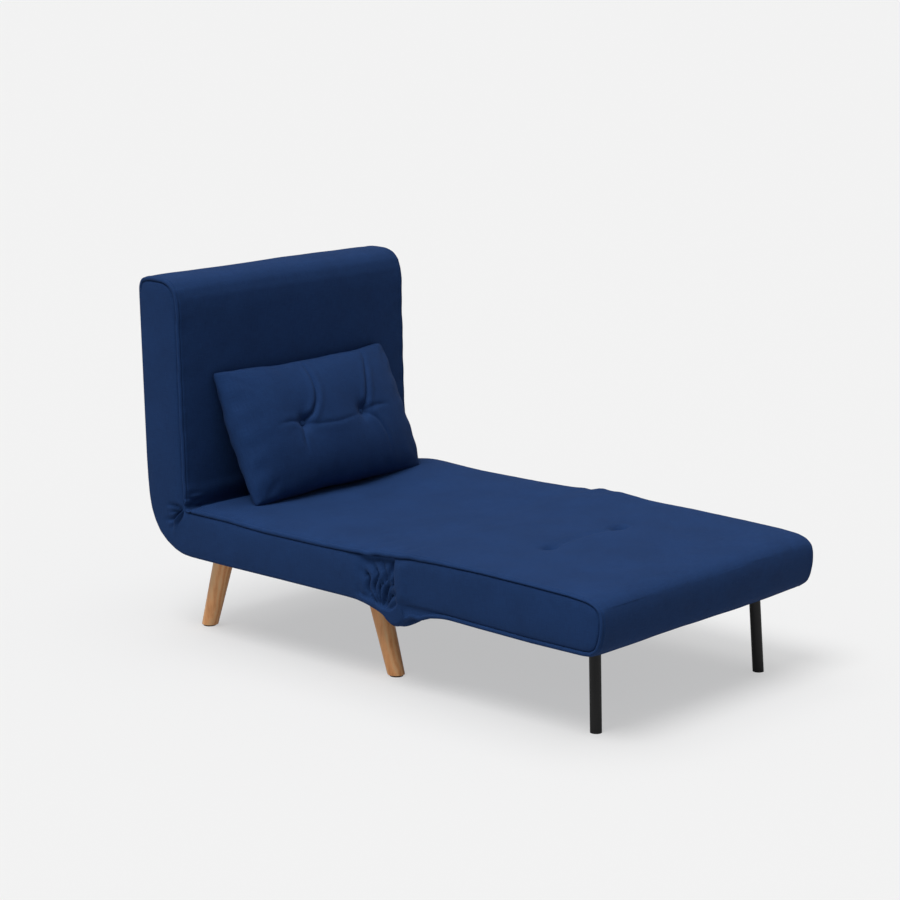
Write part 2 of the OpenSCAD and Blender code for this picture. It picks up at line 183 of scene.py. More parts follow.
# A welt's section, from the slit onto the strip: inwards from the side, and outwards from the outline.
WELT_IN = np.array([6.5, 2.6, 0.7, 0.2, 0.6, 1.9, 3.9, 5.6, 6.8, 8.2, 11.0])
WELT_OUT = np.array([-1.0, 0.2, 1.8, 4.0, 6.2, 8.2, 9.4, 9.2, 7.6, 9.6, 10.6])
WELT_HIGH = 9.4
# A plain edge's section is a quarter of a circle.
ROUND_R = 11.0
TURN = np.radians(np.linspace(4, 90, len(WELT_IN)))
ROUND_IN = ROUND_R * (1 - np.cos(TURN))
ROUND_OUT = ROUND_R * np.sin(TURN)
# From the welt the strip rises to its crown.
CROWN_FROM = 7
CROWN_REACH = 22

SLOT_IN = 65.0  # the support legs' slots, from the side
SLOT_WIDE = 50.0
SLOT_CEILING = -48.3
SLOT_FROM = (244, 256)  # u where a slot starts and stops: the two ends of its slope
SLOT_TO = (530, 539)
WALL = 1.5
STRIP_STEP = 6.6
# How far from the side the strip has its points: close together at the welt and at the slots' walls.
ACROSS = np.unique(
    np.r_[
        [14.5, 19, 25, 32, 40, 49, 58, 72, 80, 88, 97, 106],
        np.add.outer([SLOT_IN, SLOT_IN + SLOT_WIDE], [-WALL, WALL]).ravel(),
        np.arange(SLOT_IN + SLOT_WIDE + 7, HALF_MM - 3, STRIP_STEP),
        HALF_MM,
    ]
)

# A side panel at its seam: how deep it lies there, and how far that reaches.
SLIT, SLIT_REACH = 4.6, 1.6
DRAWN, DRAWN_REACH = 2.4, 12
PLAIN, PLAIN_REACH = 0.4, 4
BULGE, BULGE_REACH = 2.6, 22

HEM_DEEP = 4  # the open end's cloth is turned in this far
HEM_IN = 0.0025  # m
CORE_W = -50  # w of the line that the hem is turned in towards

POINTS_AT_ONCE = 2000  # keeps the distance table small


def unit_normals(line):
    tangent = np.gradient(line, axis=0)
    tangent /= np.linalg.norm(tangent, axis=1)[:, None]
    return np.c_[-tangent[:, 1], tangent[:, 0]]


def add_places(places, share, target):
    """Lengthens a list of places along a line, from its last one to the target."""
    places += list(places[-1] + share * (target - places[-1]))


def side_rungs(top, end, bottom, anchors):
    """Points in the plane of a side: rungs from the top line to the bottom line, each with ROWS points.
    anchors are (point near the top line, point near the bottom line, number of rungs up to them)."""
    t_len, b_len = lengths(top), lengths(bottom)
    t_at, b_at = [0.0], [0.0]
    for t_point, b_point, count in anchors:
        share = np.arange(1, count + 1) / count
        add_places(t_at, share, t_len[nearest(top, t_point)])
        add_places(b_at, share, b_len[nearest(bottom, b_point)])
    left = max(t_len[-1] - t_at[-1], b_len[-1] - b_at[-1])
    count = int(left / END_STEP)
    share = 1 - (1 - np.arange(1, count + 1) / count) ** END_CROWDING
    add_places(t_at, share, t_len[-1])
    add_places(b_at, share, b_len[-1])
    t_points, b_points = along_line(top, t_at), along_line(bottom, b_at)
    rungs = t_points[:, None] + (b_points - t_points)[:, None] * ROWS[None, :, None]
    end_points = along_line(end, ROWS * lengths(end)[-1])
    bow = end_points - rungs[-1]
    near_end = (1 - np.clip((t_len[-1] - np.array(t_at)) / END_REACH, 0, 1)) ** 2
    return rungs + near_end[:, None, None] * bow[None]


def soften(values, reach=12):
    """Evens out the steps in values that belong to successive rungs."""
    kernel = np.hanning(2 * reach + 3)[1:-1]
    padded = np.r_[np.full(reach, values[0]), values, np.full(reach, values[-1])]
    return np.convolve(padded, kernel / kernel.sum(), "valid")


def depth_inside(points, outline):
    """How far each point lies inside the outline."""
    flat = points.reshape(-1, 2)
    found = np.empty(len(flat))
    for i in range(0, len(flat), POINTS_AT_ONCE):
        part = flat[i : i + POINTS_AT_ONCE]
        found[i : i + POINTS_AT_ONCE] = np.linalg.norm(part[:, None] - outline[None], axis=2).min(1)
    return found.reshape(points.shape[:-1])


def strip_grid(outline, kind, sewn, shape):
    """The strip's x, u and w, each with a row from side to side for every point of the outline."""
    height = soften(shape.welt(outline, kind))[:, None]
    crown = soften(shape.crown(outline, kind))[:, None]
    inward = sewn * WELT_IN + (1 - sewn) * ROUND_IN
    out = height * (sewn * WELT_OUT + (1 - sewn) * ROUND_OUT)
    rise = 1 - np.exp(-(ACROSS - CROWN_FROM) / CROWN_REACH)
    top_out = height * WELT_HIGH + (crown - height * WELT_HIGH) * rise
    wide = np.c_[inward, np.broadcast_to(ACROSS, (len(outline), len(ACROSS)))]
    lift = np.c_[out, top_out]
    x = np.c_[wide - HALF_MM, (HALF_MM - wide)[:, -2::-1]]
    lift = np.c_[lift, lift[:, -2::-1]] + shape.strip(x, outline, kind)
    normal = unit_normals(outline)
    u = outline[:, 0, None] + normal[:, 0, None] * lift
    w = outline[:, 1, None] + normal[:, 1, None] * lift
    return x, u, w


def seam_share(sewn, count):
    """How far the nearest edge of a side panel is sewn, 0 to 1, for every point of its rungs."""
    top, end, bottom = sewn[:count, 0], sewn[count, 0], sewn[::-1, 0][:count]
    share = top[:, None] + (bottom - top)[:, None] * step(ROWS, 0.45, 0.55)[None]
    return share + (end - share) * step(np.arange(count), count - 25, count - 12)[:, None]


def panel_grid(rungs, deep, sewn, side, shape):
    """The inner points of a side panel: drawn in at its seam, and bulging with the filling."""
    u, w = rungs[:-1, 1:-1, 0], rungs[:-1, 1:-1, 1]
    at_seam = SLIT * np.exp(-deep / SLIT_REACH) + (DRAWN + shape.slack(u, w)) * np.exp(-deep / DRAWN_REACH)
    recess = sewn * at_seam + (1 - sewn) * PLAIN * np.exp(-deep / PLAIN_REACH)
    bulge = BULGE * (1 - np.exp(-deep / BULGE_REACH))
    x = side * (HALF_MM - recess + bulge + shape.panel(u, w, deep, side))
    return np.dstack([x, u, w])


def panel_numbers(edge, count, first):
    """Numbers the points of a side panel: edge has those that it shares with the strip, its own start at
    first."""
    ends = len(ROWS) - 2
    grid = np.empty((count, len(ROWS)), int)
    grid[:, 0] = edge[:count]
    grid[-1, 1:-1] = edge[count : count + ends]
    grid[:, -1] = edge[::-1][:count]
    grid[:-1, 1:-1] = first + np.arange((count - 1) * ends).reshape(count - 1, ends)
    return grid


def build_cover(name, place, lines, anchors, shape):
    """A closed sleeve. place turns (x, u, w) in mm into metres in the row frame. shape has the functions
    sewn, welt and crown(outline, kind), strip(x, outline, kind), slack(u, w) and panel(u, w, deep, side)."""
    rungs = side_rungs(*lines, anchors)
    count = len(rungs)
    outline = np.r_[rungs[:, 0], rungs[-1, 1:-1], rungs[::-1, -1]]
    kind = np.r_[np.full(count, TOP), np.full(len(ROWS) - 2, END), np.full(count, UNDER)]
    sewn = soften(shape.sewn(outline, kind))[:, None]
    x, u, w = strip_grid(outline, kind, sewn, shape)
    index = np.arange(x.size).reshape(x.shape)
    points = np.dstack([x, u, w]).reshape(-1, 3)
    faces = [quads(index)]
    along = np.broadcast_to(lengths(outline)[:, None], x.shape)
    flat = [np.dstack([x, along]).reshape(-1, 2)[faces[0]]]
    deep = depth_inside(rungs[:, 1:-1], outline)[:-1]
    share = seam_share(sewn, count)[:-1, 1:-1]
    for side, column in ((-1, 0), (1, -1)):
        grid = panel_numbers(index[:, column], count, len(points))
        panel_faces = quads(grid) if side > 0 else quads(grid)[:, ::-1]
        points = np.vstack([points, panel_grid(rungs, deep, share, side, shape).reshape(-1, 3)])
        faces.append(panel_faces)
        flat.append(points[:, 1:][panel_faces])
    piece = make_piece(name, place(points).tolist(), np.vstack(faces).tolist())
    layer = piece.data.uv_layers.new(name="cloth")
    layer.data.foreach_set("uv", (np.vstack(flat) * MM).ravel())
    piece.data.shade_smooth()
    hem = outline[0, 0]
    turn_in(piece.data, place(np.array([[0, hem, 0], [0, hem - HEM_DEEP, 0], [0, hem, CORE_W]])))
    return piece


def turn_in(mesh, guide):
    """Turns the open end's hem in, so that no gap shows where the two covers meet."""
    start, further, core = (Vector(p) for p in guide)
    bm = bmesh.new()
    bm.from_mesh(mesh)
    hem = [e for e in bm.edges if e.is_boundary]
    made = bmesh.ops.extrude_edge_only(bm, edges=hem)["geom"]
    for vert in (v for v in made if isinstance(v, bmesh.types.BMVert)):
        inward = Vector((core.x - vert.co.x, 0, core.z - vert.co.z)).normalized()
        vert.co += (further - start) + inward * HEM_IN
    for edge in hem:
        edge.smooth = False
    bm.to_mesh(mesh)
    bm.free()


# Lines of the seat and foot section, u and w from the front fold axis.
SAG = -9.5  # the seat's middle lies this far below the fold axes
FOOT_TOP = [(MIDDLE - 20, SAG), (-190, SAG), (-90, -7), (-40, -3.5), (0, 1), (66, 6), (150, 9), (270, 10.5),
            (410, 8), (510, 5), (555, 1), (575, -5), (586, -14)]
FOOT_END = [(590, -30), (590, -52), (585, -78), (579, -92)]
FOOT_BOTTOM = [(567, -101), (545, -103), (410, -103), (270, -100), (200, -98), (135, -96), (75, -97),
               (46, -100), (34, -110), (22, -120), (8, -123), (-10, -121), (-28, -115), (-46, -110),
               (-64, -106), (-90, -102), (-120, -101), (MIDDLE - 20, -100)]
# Lines of the seat and back section, u and w from the rear fold axis: u towards the back, w up.
BACK_TOP = [(MIDDLE - 20, SAG), (MIDDLE + 50, SAG), (-220, -7.5), (-150, -4), (-69, -3.5), (-30, -2),
            (-15, -1), (-12.5, 1), (-11.5, 18), (-7, 60), (1, 300), (4, 460), (7, 487), (15, 507)]
BACK_END = [(27, 519), (48, 526), (85, 527), (103, 525)]
BACK_BOTTOM = [(115, 521), (120, 510), (120, 490), (114, 300), (108, 110), (105, 60), (101, 20), (95, -8),
               (84, -34), (68, -58), (46, -76), (20, -90), (-3, -97), (-30, -99), (-70, -99.5), (-150, -100),
               (MIDDLE - 20, -100)]
# Rungs join these points of the top and bottom lines; the last number is how many rungs lead up to them.
FOOT_ANCHORS = [((-75, -6), (-75, -96), 34), ((75, 7), (75, -92), 84), ((250, 10), (250, -94), 24),
                ((545, 2), (545, -103), 60)]
BACK_ANCHORS = [((-75, -4), (-75, -93), 34), ((-12.5, 12), (58, -58), 64), ((-12, 75), (96, 60), 60),
                ((-6, 470), (111, 480), 56)]
ROUNDING = 4.0  # of the corners in these lines

SEAT_CROWN = 19.5  # how far the middle of the strip stands out from the outline
UNDER_CROWN = 12.5
INNER = (8, 30)  # lumps fade out between these distances from the side
HEM_REACH = 70  # and over this distance from the open end
PUCKER = 0.7
PARTS_APART = 90.0  # gives the top, the end and the underside different lumps

TUFT_R = 9  # of the CAD's tuft buttons
TUFT_LOW, TUFT_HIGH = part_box("foot_tuft_buttons")
TUFT_X = TUFT_HIGH.x / MM - TUFT_R
TUFT_U = (FRONT[0] - (TUFT_LOW.y + TUFT_HIGH.y) / 2) / MM
TUFT_STRETCH = 1.35  # a tuft's dent is this much longer across the seat
TUFT_DENTS = ((19, 12), (5, 36))  # depth and reach of the dent, and of the hollow round it
STITCH_DEEP = 3.2  # of the line between the two tufts

# Creases that fan out over the foot cover's sides, from where its slack is gathered below the hinge.
PINCH = (-14.0, -128.0)
FAN_HEIGHT = 25.0
FAN_RATE = 8.5  # a crease in every 180 / FAN_RATE degrees
FAN_SHARPNESS = 0.38
FAN_MEAN = 0.72
GATHER_DEEP = 9.0
SIDE_SLACK = 14.0
POCKET_DEEP = 9.0
PUFF = 4.0
LOOSE_DEEP = 22  # the slack that hangs below the hinge

# Creases that run from the inner corner into the back cover's sides: direction and width in degrees, then
# depth and length.
CORNER = (-10, 3)
CORNER_CREASES = (
    (-20, 5, 5.0, 30),
    (-4, 4.5, 7.5, 44),
    (14, 4.5, 5.0, 40),
    (31, 4.5, 8.5, 62),
    (47, 4.5, 7.0, 60),
    (64, 5, 4.5, 40),
    (84, 6, 3.0, 32),
)
CORNER_U = -12.5  # the strip's own inner corner, where w is 0


def by_part(kind, top, end, under):
    """Picks the value for each point's part of the strip."""
    return np.select([kind == TOP, kind == END], [top, end], under)


def between(x, low, high, edge):
    """1 from low to high and 0 outside, with slopes that reach as far as edge past either."""
    return step(x, low - edge, low + edge) * (1 - step(x, high - edge, high + edge))


def uneven_strip(x, place, along, kind, sizes, lengths_of_waves):
    """Lumps over the strip and puckers beside its welts, fading out towards the open end. place has the
    other two coordinates for the lumps, and along is the way along the outline."""
    deep = HALF_MM - np.abs(x)
    p = np.dstack([x, *(np.broadcast_to(c, x.shape) for c in place)]).reshape(-1, 3)
    large, small = (mottle(p, size).reshape(x.shape) for size in sizes)
    a, b, c, d = lengths_of_waves
    far = step(place[0], MIDDLE, MIDDLE + HEM_REACH)
    lumps = far * step(deep, *INNER) * (1.3 * large + 0.5 * small)
    ripple = wave(along / a + np.sign(x), along / b + 2 * np.sin(along / c), along / d)
    puckers = far * bump(deep, 13, 7) * ripple
    return lumps + by_part(kind, PUCKER, PUCKER, 0)[:, None] * puckers


def uneven_panel(u, w, deep, layer, size):
    """Lumps over a side panel. Panels with different layers have different lumps."""
    lumps = mottle(np.dstack([u, w, np.full_like(u, layer)]).reshape(-1, 3), size).reshape(u.shape)
    return lumps * step(u, MIDDLE, MIDDLE + HEM_REACH) * step(deep, 4, 20)


class FootShape:
    """The cover of the seat's front half and the foot section."""

    def sewn(self, outline, kind):
        return by_part(kind, 1.0, 1.0, step(outline[:, 0], 52, 72))

    def welt(self, outline, kind):
        return by_part(kind, 1.0 - 0.38 * step(outline[:, 0], 20, 330), 0.8, 1.0)

    def crown(self, outline, kind):
        u = outline[:, 0]
        return by_part(kind, SEAT_CROWN - 6 * step(u, -150, 30) - 4 * step(u, 30, 300), 8.5, UNDER_CROWN)

    def slack_edge(self, x, u, deep):
        """The top's edges are a little loose near the hinge."""
        side = np.sign(x)
        near = bump(u, -5, 75) * (1 - step(deep, 30, 120))
        return near * (2.4 * wave(u / 8.5 + 1.2 * side, u / 13 - 0.8 * side) - 0.6)

    def tufts(self, x, u):
        """How far the tufts and the stitches between them draw the top down."""
        drawn = STITCH_DEEP * bump(u, TUFT_U, 9) * step(TUFT_X - np.abs(x), -18, 30)
        for tuft_x in (-TUFT_X, TUFT_X):
            r = np.hypot((x - tuft_x) / TUFT_STRETCH, u - TUFT_U)
            drawn = drawn + sum(depth * bump(r, 0, reach) for depth, reach in TUFT_DENTS)
        return drawn

    def loose_cloth(self, x, u, deep):
        """The underside's slack at the hinge, which the foot section needs to fold, and its creases."""
        slack = LOOSE_DEEP * step(u, -14, 24) * (1 - step(u, 48, 190))
        slack = slack * (1 + 0.16 * wave(u / 7, x / 23 + u / 11))
        folds = 4.2 * bump(u, 4, 50) * wave(u / 3.4 + 0.6 * np.sin(x / 31), u / 5.2 + x / 90)
        return slack + folds * step(deep, *INNER)

    def slots(self, deep, u):
        """1 in the slots for the folded support legs."""
        across = between(deep, SLOT_IN, SLOT_IN + SLOT_WIDE, 2 * WALL)
        return across * step(u, *SLOT_FROM) * (1 - step(u, *SLOT_TO))

    def strip(self, x, outline, kind):
        u = outline[:, 0][:, None]
        deep = HALF_MM - np.abs(x)
        place = (u, kind[:, None] * PARTS_APART)
        on_top, under = (kind == TOP)[:, None], (kind == UNDER)[:, None]
        lift = uneven_strip(x, place, u, kind, (75, 21), (4.1, 6.3, 37, 9.7))
        lift = lift + on_top * (self.slack_edge(x, u, deep) - self.tufts(x, u))
        lift = lift + under * self.loose_cloth(x, u, deep)
        to_ceiling = (SLOT_CEILING - outline[:, 1])[:, None] + lift + self.crown(outline, kind)[:, None]
        return lift - under * self.slots(deep, u) * to_ceiling

    def slack(self, u, w):
        return SIDE_SLACK * bump(u, -25, 60)

    def fan(self, u, w, side):
        """The heights of the creases that fan out from the pinched point."""
        r = np.hypot(u - PINCH[0], w - PINCH[1])
        turn = np.degrees(np.arctan2(u - PINCH[0], w - PINCH[1])) + side * 3
        turn = turn + 5 * np.sin(r / 15 + side) + 2.5 * np.sin(r / 7.3)
        phase = np.radians(turn * FAN_RATE) + 0.9 * np.sin(np.radians(turn * 3.3))
        ridge = np.abs(np.sin(phase)) ** FAN_SHARPNESS
        return FAN_HEIGHT * step(r, 6, 34) * (1 - step(r, 80, 124)) * (ridge - FAN_MEAN)

    def panel(self, u, w, deep, side):
        gather = step(u, -90, -54) * (1 - step(u + 0.12 * (w + 20), 20, 33))
        edge = step(deep, 3, 20)
        puff = PUFF * bump(u, 52, 20) * step(deep, 2, 20)
        pocket = POCKET_DEEP * bump(u, 13 + 0.2 * (w + 30), 5.5) * edge * step(w, -130, -100)
        drawn = gather * (edge * self.fan(u, w, side) - GATHER_DEEP * step(deep, 1, 12))
        return drawn + puff - pocket + uneven_panel(u, w, deep, side * 60, 48)


class BackShape:
    """The cover of the seat's rear half and the back."""

    def from_corner(self, outline):
        return np.hypot(outline[:, 0] - CORNER_U, outline[:, 1])

    def pinched(self, outline):
        """1 at the inner corner, falling to 0 away from it."""
        return 1 - step(self.from_corner(outline), 2, 52)

    def sewn(self, outline, kind):
        return by_part(kind, 1.0, 1.0, 0.0)

    def welt(self, outline, kind):
        return by_part(kind, 1.0 - 0.65 * self.pinched(outline), 0.95, 1.0)

    def crown(self, outline, kind):
        pinch = self.pinched(outline)
        top = (SEAT_CROWN - 8.5 * step(outline[:, 1], 0, 60)) * (1 - 0.97 * pinch) + 0.5 * pinch
        return by_part(kind, top, 11.0, UNDER_CROWN)

    def side_folds(self, near, deep):
        """Creases at the sides of the inner corner."""
        folds = wave(near / 2.6 + deep / 14, near / 3.7 - deep / 19)
        return 4.2 * bump(deep, 22, 26) * bump(near, 20, 16) * folds

    def front_edge(self, x, w, deep):
        """The back's side edges are a little uneven seen from the front."""
        side = np.sign(x)
        near = step(w, 25, 60) * (1 - step(deep, 18, 46))
        return 1.5 * near * wave(w / 17 + side, w / 9.1 - 0.7 * side, w / 29)

    def rear_bend(self, x, u, w, deep):
        """Shallow folds where the strip bends round the rear hinge."""
        near = bump(np.hypot(u - 60, w + 60), 0, 55) * step(deep, *INNER)
        return 1.5 * near * wave(x / 24 + (u + w) / 30, x / 15 - (u + w) / 21)

    def strip(self, x, outline, kind):
        u, w = outline[:, 0][:, None], outline[:, 1][:, None]
        deep = HALF_MM - np.abs(x)
        near = self.from_corner(outline)[:, None]
        on_top, under = (kind == TOP)[:, None], (kind == UNDER)[:, None]
        lift = uneven_strip(x, (u, w), u + w, kind, (78, 23), (4.4, 6.9, 41, 10.3))
        lift = lift + on_top * (self.side_folds(near, deep) + self.front_edge(x, w, deep))
        return lift + under * self.rear_bend(x, u, w, deep)

    def slack(self, u, w):
        return 3.0 * bump(np.hypot(u + 12, w), 0, 60)

    def panel(self, u, w, deep, side):
        r = np.hypot(u - CORNER[0], w - CORNER[1])
        turn = np.degrees(np.arctan2(CORNER[1] - w, u - CORNER[0]))
        total = uneven_panel(u, w, deep, side * 50, 52)
        for angle, width, size, reach in CORNER_CREASES:
            bent = turn + side * 2 - 7 * np.sin(r / 16 + angle)
            faded = step(r, 2, 12) * (1 - step(r, reach * 0.6, reach * 1.25))
            wide = width * (1 + 14 / (r + 8))
            crease = bump(bent, angle, wide) - 0.55 * bump(bent, angle + 1.9 * wide, wide)
            total = total - size * faded * crease
        return total


def section(top, end, bottom):
    """The three smooth lines of a section: top, end and bottom, each going towards the free end."""
    whole = smooth_line(top + end + bottom, ROUNDING)
    first, last = nearest(whole, top[-1]), nearest(whole, bottom[0])
    lines = whole[: first + 1], whole[first : last + 1], whole[last:][::-1]
    cut = [lines[0][lines[0][:, 0] >= MIDDLE], lines[1], lines[2][lines[2][:, 0] >= MIDDLE]]
    cut[0][0, 0] = cut[2][0, 0] = MIDDLE
    return cut


def far_rise(x, w, where):
    """The seat's right-hand edge is stuffed fuller than its left, so it stands a little higher."""
    return 12.0 * step(x, 40, 300) * step(w, -95, -10) * where


def front_place(p):
    x, u, w = p.T
    return np.c_[x, -u, w + far_rise(x, w, 1 - step(u, 10, 170))] * MM + [0, *FRONT]


def rear_place(p):
    x, u, w = p.T
    return np.c_[x, u, w + far_rise(x, w, 1 - step(u, -130, -30))] * MM + [0, *REAR]


def make_covers(cloth):
    foot_lines = section(FOOT_TOP, FOOT_END, FOOT_BOTTOM)
    back_lines = section(BACK_TOP, BACK_END, BACK_BOTTOM)
    front = build_cover("cover_front", front_place, foot_lines, FOOT_ANCHORS, FootShape())
    back = build_cover("cover_back", rear_place, back_lines, BACK_ANCHORS, BackShape())
    for cover in (front, back):
        cover.data.materials.append(cloth)
    return front, back


# ---------- materials ----------


class Paint:
    """Builds one Principled material, node by node."""

    def __init__(self, name, rough, **sockets):
        self.material = bpy.data.materials.new(name)
        self.material.use_nodes = True
        self.tree = self.material.node_tree
        self.shader = self.tree.nodes["Principled BSDF"]
        self.shader.inputs["Roughness"].default_value = rough
        for socket, value in sockets.items():
            self.shader.inputs[socket.replace("_", " ")].default_value = value

    def node(self, kind, inputs=(), **settings):
        made = self.tree.nodes.new("ShaderNode" + kind)
        for key, value in settings.items():
            setattr(made, key, value)
        for key, value in dict(inputs).items():
            if isinstance(value, bpy.types.NodeSocket):
                self.tree.links.new(value, made.inputs[key])
            else:
                made.inputs[key].default_value = value
        return made

    def math(self, operation, *values):
        return self.node("Math", dict(enumerate(values)), operation=operation).outputs[0]

    def total(self, *parts):
        """The sum of the parts, each a value and its weight."""
        terms = [self.math("MULTIPLY", value, weight) for value, weight in parts]
        added = terms[0]
        for term in terms[1:]:
            added = self.math("ADD", added, term)
        return added

    def noise(self, vector, scale, detail=3.0, rough=0.55, stretch=(1, 1, 1)):
        placed = self.node("Mapping", {"Vector": vector, "Scale": stretch}).outputs["Vector"]
        inputs = {"Vector": placed, "Scale": scale, "Detail": detail, "Roughness": rough}
        return self.node("TexNoise", inputs).outputs["Fac"]

    def ramp(self, value, *stops):
        made = self.node("ValToRGB", {"Fac": value})
        elements = made.color_ramp.elements
        while len(elements) < len(stops):
            elements.new(0.5)
        for element, (place, colour) in zip(elements, stops):
            element.position = place
            element.color = (*colour, 1)
        return made.outputs["Color"]

    def spread(self, value, low, high):
        return self.node("MapRange", {"Value": value, "To Min": low, "To Max": high}).outputs["Result"]

    def set(self, **links):
        for socket, value in links.items():
            self.tree.links.new(value, self.shader.inputs[socket.replace("_", " ")])
        return self.material

    def bump(self, height, distance, strength=1.0):
        inputs = {"Height": height, "Distance": distance, "Strength": strength}
        return self.node("Bump", inputs).outputs["Normal"]


def shade(colour, factor):
    return tuple(c * factor for c in colour)


NAVY = (0.0125, 0.0392, 0.1260)
THREAD = 0.0011  # from one thread of the weave to the next
SLUB_FINE, SLUB_LONG = 900, 40  # slubs for each metre across and along a thread


def cloth_paint():
    p = Paint("navy_linen_weave", 0.88, Specular_IOR_Level=0.10, Sheen_Weight=0.020, Sheen_Roughness=0.5,
              Sheen_Tint=(0.7, 0.8, 1.0, 1))
    uv = p.node("UVMap", uv_map="cloth").outputs["UV"]
    place = p.node("TexCoord").outputs["Object"]
    split = p.node("SeparateXYZ", {"Vector": uv})
    warp_at = p.math("MULTIPLY", split.outputs["X"], 1 / THREAD)
    weft_at = p.math("MULTIPLY", split.outputs["Y"], 1 / THREAD)
    warp, weft = (
        p.math("ABSOLUTE", p.math("SINE", p.math("MULTIPLY", at, math.pi))) for at in (warp_at, weft_at)
    )
    over = p.math("MODULO", p.math("ADD", p.math("FLOOR", warp_at), p.math("FLOOR", weft_at)), 2.0)
    over = p.math("ABSOLUTE", over)
    threads = p.node("Mix", {"Factor": over, "A": warp, "B": weft}).outputs[0]
    slub_x = p.noise(uv, 1.0, 2.0, 0.5, (SLUB_FINE, SLUB_LONG, 1))
    slub_y = p.noise(uv, 1.0, 2.0, 0.5, (SLUB_LONG, SLUB_FINE, 1))
    slubs = p.total((slub_x, 0.5), (slub_y, 0.5))
    worn = p.noise(place, 9.0, 3.0, 0.6)
    tone = p.total((slubs, 0.62), (worn, 0.26), (threads, 0.12))
    colour = p.ramp(tone, (0.30, shade(NAVY, 0.72)), (0.48, NAVY), (0.66, shade(NAVY, 1.3)))
    height = p.total((threads, 0.7), (slubs, 1.1))
    rough = p.spread(worn, 0.80, 0.92)
    return p.set(Base_Color=colour, Roughness=rough, Normal=p.bump(height, 0.00028, 0.55))


def thread_and_pit_shade_paint():
    p = Paint("dark_thread_painted_pit_shade", 0.7, Sheen_Weight=0.2)
    place = p.node("TexCoord").outputs["Object"]
    inputs = {"Vector": place, "Scale": 900.0, "Distortion": 1.5}
    twist = p.node("TexWave", inputs, bands_direction="DIAGONAL").outputs["Fac"]
    # The thread is far darker than the cloth: a real stitch colour plus painted shade of the tufts' pits.
    colour = p.ramp(twist, (0.0, (0.004, 0.010, 0.032)), (1.0, (0.010, 0.026, 0.080)))
    return p.set(Base_Color=colour, Normal=p.bump(twist, 0.0002, 0.6))


def oak_paint(name, pale, mid, dark, grain_along):
    """Lacquered wood whose grain runs along one axis of the frame."""
    p = Paint(name, 0.42, Specular_IOR_Level=0.45, Coat_Weight=0.18, Coat_Roughness=0.3)
    place = p.node("TexCoord").outputs["Object"]
    stretch = tuple(5.0 if i == grain_along else 70.0 for i in range(3))
    fine = tuple(16.0 if i == grain_along else 620.0 for i in range(3))
    bands = p.noise(place, 1.0, 4.0, 0.6, stretch)
    fibres = p.noise(place, 1.0, 3.0, 0.65, fine)
    stretched = p.node("Mapping", {"Vector": place, "Scale": stretch}).outputs["Vector"]
    inputs = {"Vector": stretched, "Scale": 0.35, "Distortion": 9.0, "Detail": 3.0}
    rings = p.node("TexWave", inputs, bands_direction="X").outputs["Fac"]
    tone = p.total((bands, 0.45), (rings, 0.25), (fibres, 0.30))
    colour = p.ramp(tone, (0.28, dark), (0.5, mid), (0.72, pale))
    pores = p.spread(fibres, 0.0, 1.0)
    return p.set(Base_Color=colour, Roughness=p.spread(fibres, 0.34, 0.55),
                 Normal=p.bump(pores, 0.00025, 0.35))


def coated_paint(name, colour, rough, metal=0.0, grain=1400.0, depth=0.00012):
    p = Paint(name, rough, Metallic=metal)
    place = p.node("TexCoord").outputs["Object"]
    speck = p.noise(place, grain, 2.0, 0.6)
    cloud = p.noise(place, 22.0, 3.0, 0.55)
    tone = p.total((speck, 0.35), (cloud, 0.65))
    shown = p.ramp(tone, (0.3, shade(colour, 0.75)), (0.7, shade(colour, 1.25)))
    return p.set(Base_Color=shown, Roughness=p.spread(cloud, rough - 0.08, rough + 0.1),
                 Normal=p.bump(speck, depth, 0.4))


def paint_nodes(cloth):
    """Paints every piece from the CAD, by the words in its name."""
    leg_oak = oak_paint("oak_lacquered", (0.99, 0.60, 0.29), (0.97, 0.47, 0.19), (0.74, 0.29, 0.095), 2)
    birch = oak_paint("birch_slats", (0.72, 0.55, 0.34), (0.62, 0.44, 0.25), (0.47, 0.30, 0.15), 0)
    coat = coated_paint("black_powder_coat", (0.0045, 0.0045, 0.005), 0.5)
    cap = coated_paint("black_plastic_caps", (0.006, 0.006, 0.0065), 0.55, grain=2600.0, depth=0.00006)
    zinc = coated_paint("zinc_plate", (0.58, 0.60, 0.62), 0.34, metal=1.0, grain=500.0, depth=0.00004)
    foam = coated_paint("cut_foam", (0.62, 0.60, 0.52), 0.95, grain=900.0, depth=0.0005)
    groups = {
        leg_oak: ("wooden_leg",),
        birch: ("_slats",),
        cap: ("leg_glides", "support_leg_caps", "support_bushes", "pawls"),
        zinc: ("hinge", "rivets", "bolts", "leg_plates"),
        foam: ("foam", "pad"),
        coat: ("rail", "cross", "support_leg"),
    }
    for name, piece in nodes.items():
        found = [m for m, words in groups.items() if any(word in name for word in words)]
        paint = cloth if ("cover" in name or "pillow" in name or "buttons" in name) else found[0]
        piece.data.materials.clear()
        piece.data.materials.append(paint)


# ---------- pillow ----------

